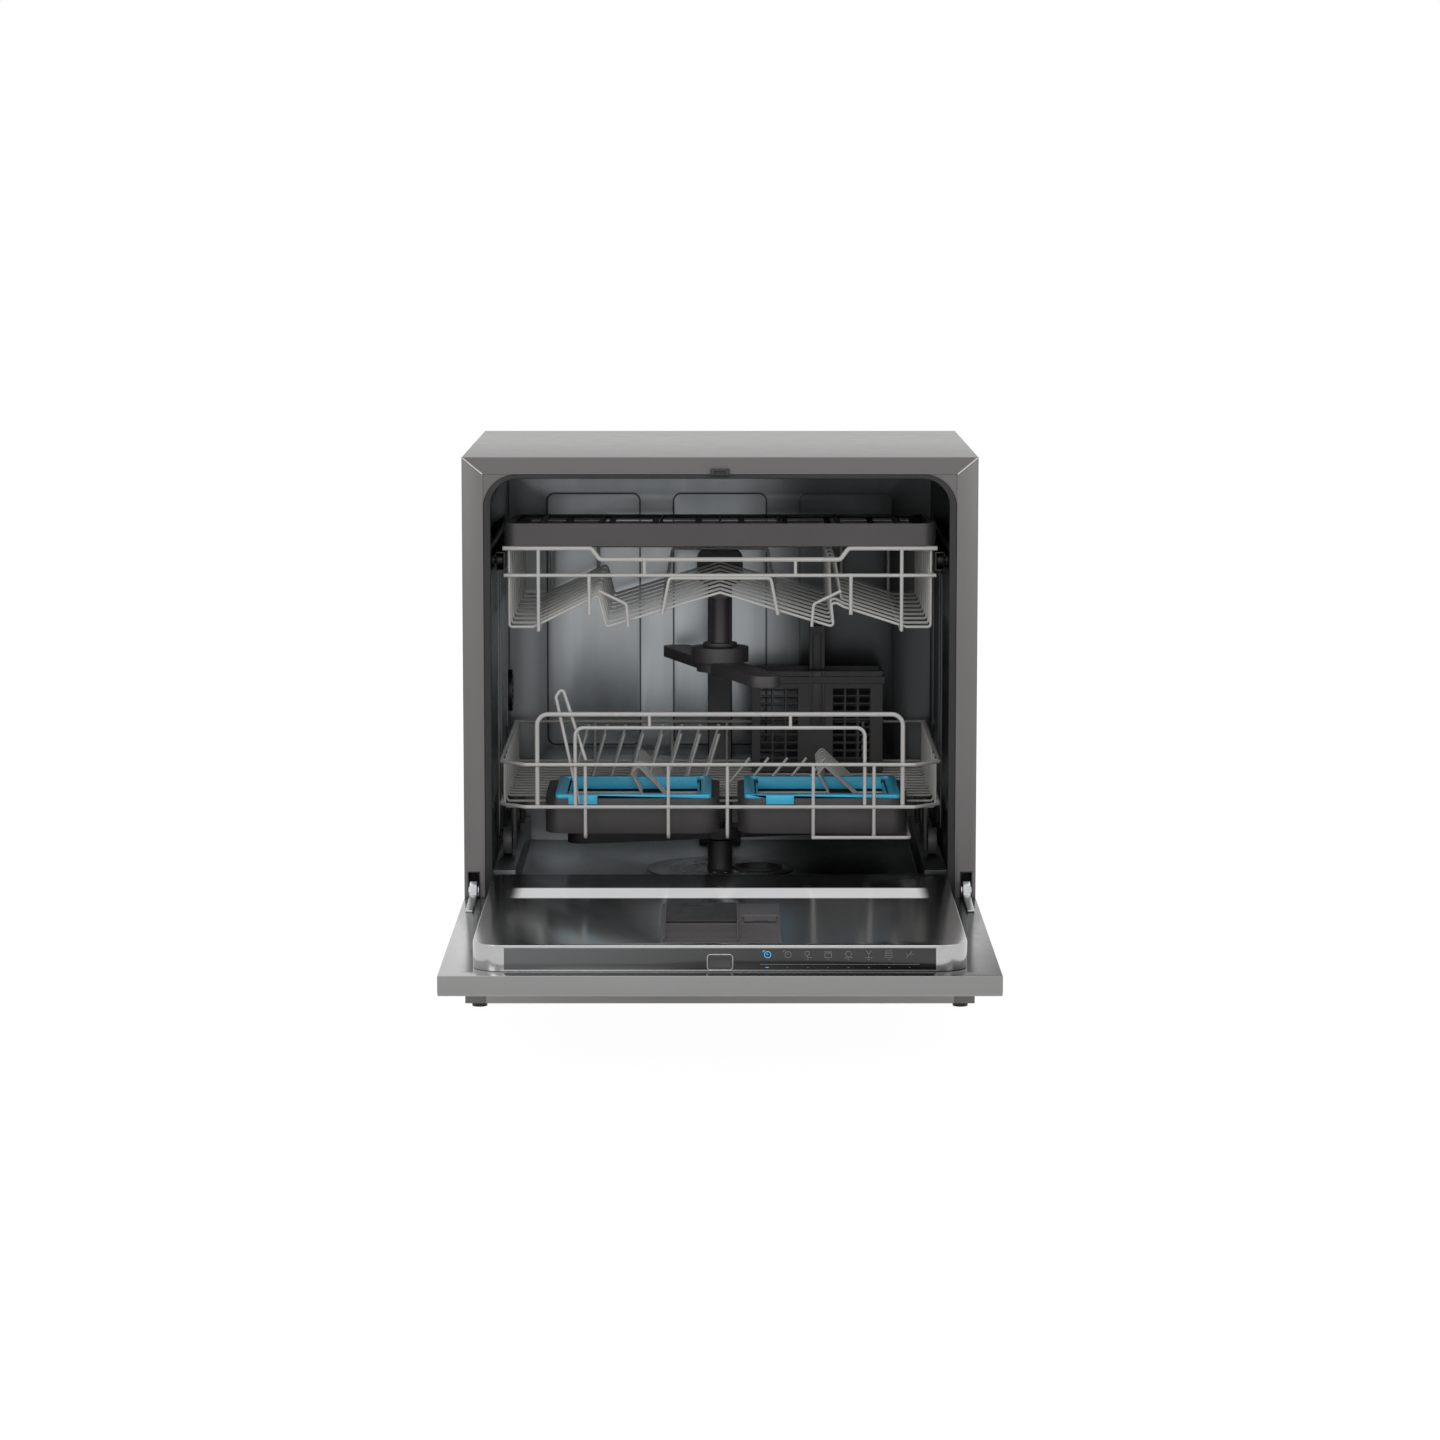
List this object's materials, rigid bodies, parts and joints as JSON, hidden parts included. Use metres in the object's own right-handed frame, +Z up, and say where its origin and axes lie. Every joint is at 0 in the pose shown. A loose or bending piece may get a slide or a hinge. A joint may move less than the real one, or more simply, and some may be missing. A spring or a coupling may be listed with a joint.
{
  "type": "countertop dishwasher",
  "caption": "Countertop dishwasher with a drop-down door, two sliding wire racks, a cutlery tray, a cutlery basket, accessory holders and spinning spray arms.",
  "frame": {"origin": "on the worktop, below the middle of the outline at rest (door open, racks in)", "axes": "+X to the right seen from the front, +Y from the open door to the back panel, +Z up"},
  "size_m": [0.55, 0.956, 0.595],
  "materials": {
    "painted": "smooth satin paint",
    "painted_door": "smooth satin paint",
    "tub_steel": "fine brushed, half gloss",
    "liner_steel": "fine brushed, reflective",
    "bright_steel": "plain, half gloss",
    "coated_wire": "smooth satin coating",
    "black_rubber": "matt, soft",
    "black_plastic": "fine grained, matt",
    "gloss_black": "polished",
    "dark_grey": "fine grained, matt",
    "pale_grey": "fine grained, matt",
    "cyan_plastic": "smooth, half matt"
  },
  "bodies": {
    "cabinet": {"top_panel": "painted", "side_panel_left": "painted", "side_panel_right": "painted", "back_panel": "painted", "base_tray": "painted", "levelling_feet": "black_rubber", "front_frame": "painted", "tub": "tub_steel", "drain_well": "tub_steel", "tub_gasket": "black_rubber", "threshold_strip": "bright_steel", "latch_strike": "black_plastic", "hinge_boot_left": "black_plastic", "hinge_boot_right": "black_plastic", "hinge_bracket_left": "bright_steel", "hinge_bracket_right": "bright_steel", "feed_pipe": "black_plastic", "feed_dock": "black_plastic", "filter_plate": "tub_steel", "filter_cup": "dark_grey", "arm_spindle": "dark_grey", "sump_body": "dark_grey", "wash_pump": "dark_grey", "drain_pump": "dark_grey", "water_inlet": "pale_grey", "drain_spigot": "dark_grey", "cord_gland": "black_plastic", "guide_axles": "bright_steel", "vent_cover": "black_plastic"},
    "door": {"door_panel": "painted_door", "door_liner": "liner_steel", "control_strip": "gloss_black", "latch_insert": "dark_grey", "dispenser_body": "dark_grey", "hinge_arm_left": "bright_steel", "hinge_arm_right": "bright_steel"},
    "detergent_lid": {"detergent_lid": "black_plastic"},
    "rinse_flap": {"rinse_flap": "dark_grey"},
    "upper_rack": {"upper_rack_frame": "coated_wire", "upper_rail_left": "bright_steel", "upper_rail_right": "bright_steel", "cutlery_tray": "dark_grey", "spray_manifold": "dark_grey"},
    "upper_arm": {"upper_spray_arm": "dark_grey"},
    "lower_rack": {"lower_rack_frame": "coated_wire", "wheel_brackets": "dark_grey", "holder_boxes": "dark_grey", "holder_collars": "cyan_plastic", "cutlery_basket": "dark_grey"},
    "lower_arm": {"lower_spray_arm": "dark_grey"},
    "rack_wheel_front_left": {"rack_wheel_front_left": "pale_grey"},
    "rack_wheel_rear_left": {"rack_wheel_rear_left": "pale_grey"},
    "rack_wheel_front_right": {"rack_wheel_front_right": "pale_grey"},
    "rack_wheel_rear_right": {"rack_wheel_rear_right": "pale_grey"},
    "guide_wheel_front_left": {"guide_wheel_front_left": "black_plastic"},
    "guide_wheel_rear_left": {"guide_wheel_rear_left": "black_plastic"},
    "guide_wheel_front_right": {"guide_wheel_front_right": "black_plastic"},
    "guide_wheel_rear_right": {"guide_wheel_rear_right": "black_plastic"}
  },
  "joints": [
    {"name": "door_hinge", "type": "hinge", "parent": "cabinet", "child": "door", "pos_m": [0, -0.0125, 0.1275], "axis": [1, 0, 0], "range_deg": [-90, 0]},
    {"name": "upper_rack_slide", "type": "slide", "parent": "cabinet", "child": "upper_rack", "axis": [0, -1, 0], "range_m": [0, 0.3]},
    {"name": "lower_rack_slide", "type": "slide", "parent": "cabinet", "child": "lower_rack", "axis": [0, -1, 0], "range_m": [0, 0.4155]},
    {"name": "lower_arm_spin", "type": "hinge", "parent": "cabinet", "child": "lower_arm", "pos_m": [0, 0.2025, 0.161], "axis": [0, 0, 1], "continuous": true},
    {"name": "upper_arm_spin", "type": "hinge", "parent": "upper_rack", "child": "upper_arm", "pos_m": [0, 0.2025, 0.348], "axis": [0, 0, 1], "continuous": true},
    {"name": "detergent_lid_slide", "type": "slide", "parent": "door", "child": "detergent_lid", "axis": [0, -1, 0], "range_m": [0, 0.095]},
    {"name": "rinse_flap_hinge", "type": "hinge", "parent": "door", "child": "rinse_flap", "pos_m": [0.0405, -0.3015, 0.1494], "axis": [-1, 0, 0], "range_deg": [0, 80]},
    {"name": "rack_wheel_front_left_roll", "type": "hinge", "parent": "lower_rack", "child": "rack_wheel_front_left", "pos_m": [-0.234, 0.119, 0.1623], "axis": [1, 0, 0], "range_deg": [0, 1600]},
    {"name": "rack_wheel_rear_left_roll", "type": "hinge", "parent": "lower_rack", "child": "rack_wheel_rear_left", "pos_m": [-0.234, 0.3105, 0.1623], "axis": [1, 0, 0], "range_deg": [0, 1600]},
    {"name": "rack_wheel_front_right_roll", "type": "hinge", "parent": "lower_rack", "child": "rack_wheel_front_right", "pos_m": [0.234, 0.119, 0.1623], "axis": [1, 0, 0], "range_deg": [0, 1600]},
    {"name": "rack_wheel_rear_right_roll", "type": "hinge", "parent": "lower_rack", "child": "rack_wheel_rear_right", "pos_m": [0.234, 0.3105, 0.1623], "axis": [1, 0, 0], "range_deg": [0, 1600]},
    {"name": "guide_wheel_front_left_roll", "type": "hinge", "parent": "cabinet", "child": "guide_wheel_front_left", "pos_m": [-0.237, 0.0375, 0.481], "axis": [1, 0, 0], "range_deg": [0, 2050]},
    {"name": "guide_wheel_rear_left_roll", "type": "hinge", "parent": "cabinet", "child": "guide_wheel_rear_left", "pos_m": [-0.237, 0.0795, 0.481], "axis": [1, 0, 0], "range_deg": [0, 2050]},
    {"name": "guide_wheel_front_right_roll", "type": "hinge", "parent": "cabinet", "child": "guide_wheel_front_right", "pos_m": [0.237, 0.0375, 0.481], "axis": [1, 0, 0], "range_deg": [0, 2050]},
    {"name": "guide_wheel_rear_right_roll", "type": "hinge", "parent": "cabinet", "child": "guide_wheel_rear_right", "pos_m": [0.237, 0.0795, 0.481], "axis": [1, 0, 0], "range_deg": [0, 2050]}
  ],
  "couplings": [
    {"joint": "rack_wheel_front_left_roll", "follows": "lower_rack_slide", "rad_per_m": 66.667},
    {"joint": "rack_wheel_rear_left_roll", "follows": "lower_rack_slide", "rad_per_m": 66.667},
    {"joint": "rack_wheel_front_right_roll", "follows": "lower_rack_slide", "rad_per_m": 66.667},
    {"joint": "rack_wheel_rear_right_roll", "follows": "lower_rack_slide", "rad_per_m": 66.667},
    {"joint": "guide_wheel_front_left_roll", "follows": "upper_rack_slide", "rad_per_m": 117.65},
    {"joint": "guide_wheel_rear_left_roll", "follows": "upper_rack_slide", "rad_per_m": 117.65},
    {"joint": "guide_wheel_front_right_roll", "follows": "upper_rack_slide", "rad_per_m": 117.65},
    {"joint": "guide_wheel_rear_right_roll", "follows": "upper_rack_slide", "rad_per_m": 117.65}
  ]
}
